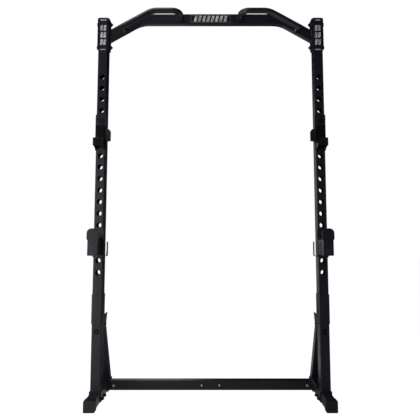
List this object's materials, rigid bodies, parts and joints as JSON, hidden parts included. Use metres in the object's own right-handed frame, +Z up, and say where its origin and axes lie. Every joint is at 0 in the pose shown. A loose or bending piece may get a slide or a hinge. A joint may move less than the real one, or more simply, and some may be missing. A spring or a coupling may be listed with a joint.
{
  "type": "half rack",
  "caption": "Free-standing half rack: perforated uprights on low feet, bent pull-up bar with angled grips, pin-locked bar hooks and short spotter catches.",
  "frame": {"origin": "on the floor, under the middle of the rack's overall width and depth", "axes": "+X to the right seen from the lifter's side, -Y towards the lifter, +Z up"},
  "size_m": [1.2832, 0.48, 2.118],
  "materials": {
    "powder_coat": "satin black powder coat with a slight blue-grey cast",
    "gloss_grip": "smooth gloss black coat",
    "black_plastic": "fine-grained black polyethylene",
    "rubber_boot": "matt black moulded rubber",
    "dark_fastener": "black zinc-plated steel",
    "badge_plate": "black plate with a thin grey border and plain light stripes"
  },
  "bodies": {
    "frame": {"foot_tube_left": "powder_coat", "foot_boot_front_left": "rubber_boot", "foot_cap_rear_left": "rubber_boot", "post_saddle_left": "powder_coat", "post_lower_left": "powder_coat", "post_sleeve_left": "powder_coat", "post_upper_left": "powder_coat", "post_cap_left": "black_plastic", "bar_outer_plate_left": "powder_coat", "bar_end_plate_left": "powder_coat", "brace_tube_left": "powder_coat", "brace_head_left": "powder_coat", "brace_bolt_left": "dark_fastener", "cross_angle_left": "powder_coat", "cross_end_bolt_left": "dark_fastener", "bar_bolt_upper_left": "dark_fastener", "bar_bolt_lower_left": "dark_fastener", "foot_bolt_front_left": "dark_fastener", "foot_bolt_rear_left": "dark_fastener", "foot_tube_right": "powder_coat", "foot_boot_front_right": "rubber_boot", "foot_cap_rear_right": "rubber_boot", "post_saddle_right": "powder_coat", "post_lower_right": "powder_coat", "post_sleeve_right": "powder_coat", "post_upper_right": "powder_coat", "post_cap_right": "black_plastic", "bar_outer_plate_right": "powder_coat", "bar_end_plate_right": "powder_coat", "brace_tube_right": "powder_coat", "brace_head_right": "powder_coat", "brace_bolt_right": "dark_fastener", "cross_angle_right": "powder_coat", "cross_end_bolt_right": "dark_fastener", "bar_bolt_upper_right": "dark_fastener", "bar_bolt_lower_right": "dark_fastener", "foot_bolt_front_right": "dark_fastener", "foot_bolt_rear_right": "dark_fastener", "pull_up_bar": "powder_coat", "bar_badge": "badge_plate", "crossmember": "powder_coat", "cross_mid_bolt_left": "dark_fastener", "cross_mid_bolt_right": "dark_fastener", "grip_left": "gloss_grip", "grip_right": "gloss_grip"},
    "hook_left": {"hook_body_left": "powder_coat", "hook_liner_left": "black_plastic", "hook_pin_left": "dark_fastener"},
    "catch_left": {"catch_bracket_left": "powder_coat", "catch_arm_left": "powder_coat", "catch_liner_left": "black_plastic", "catch_pin_left": "dark_fastener"},
    "hook_right": {"hook_body_right": "powder_coat", "hook_liner_right": "black_plastic", "hook_pin_right": "dark_fastener"},
    "catch_right": {"catch_bracket_right": "powder_coat", "catch_arm_right": "powder_coat", "catch_liner_right": "black_plastic", "catch_pin_right": "dark_fastener"}
  },
  "joints": [
    {"name": "hook_left_pull", "type": "slide", "parent": "frame", "child": "hook_left", "axis": [0, -1, 0], "range_m": [0, 0.08]},
    {"name": "catch_left_pull", "type": "slide", "parent": "frame", "child": "catch_left", "axis": [0, -1, 0], "range_m": [0, 0.08]},
    {"name": "hook_right_pull", "type": "slide", "parent": "frame", "child": "hook_right", "axis": [0, -1, 0], "range_m": [0, 0.08]},
    {"name": "catch_right_pull", "type": "slide", "parent": "frame", "child": "catch_right", "axis": [0, -1, 0], "range_m": [0, 0.08]}
  ]
}
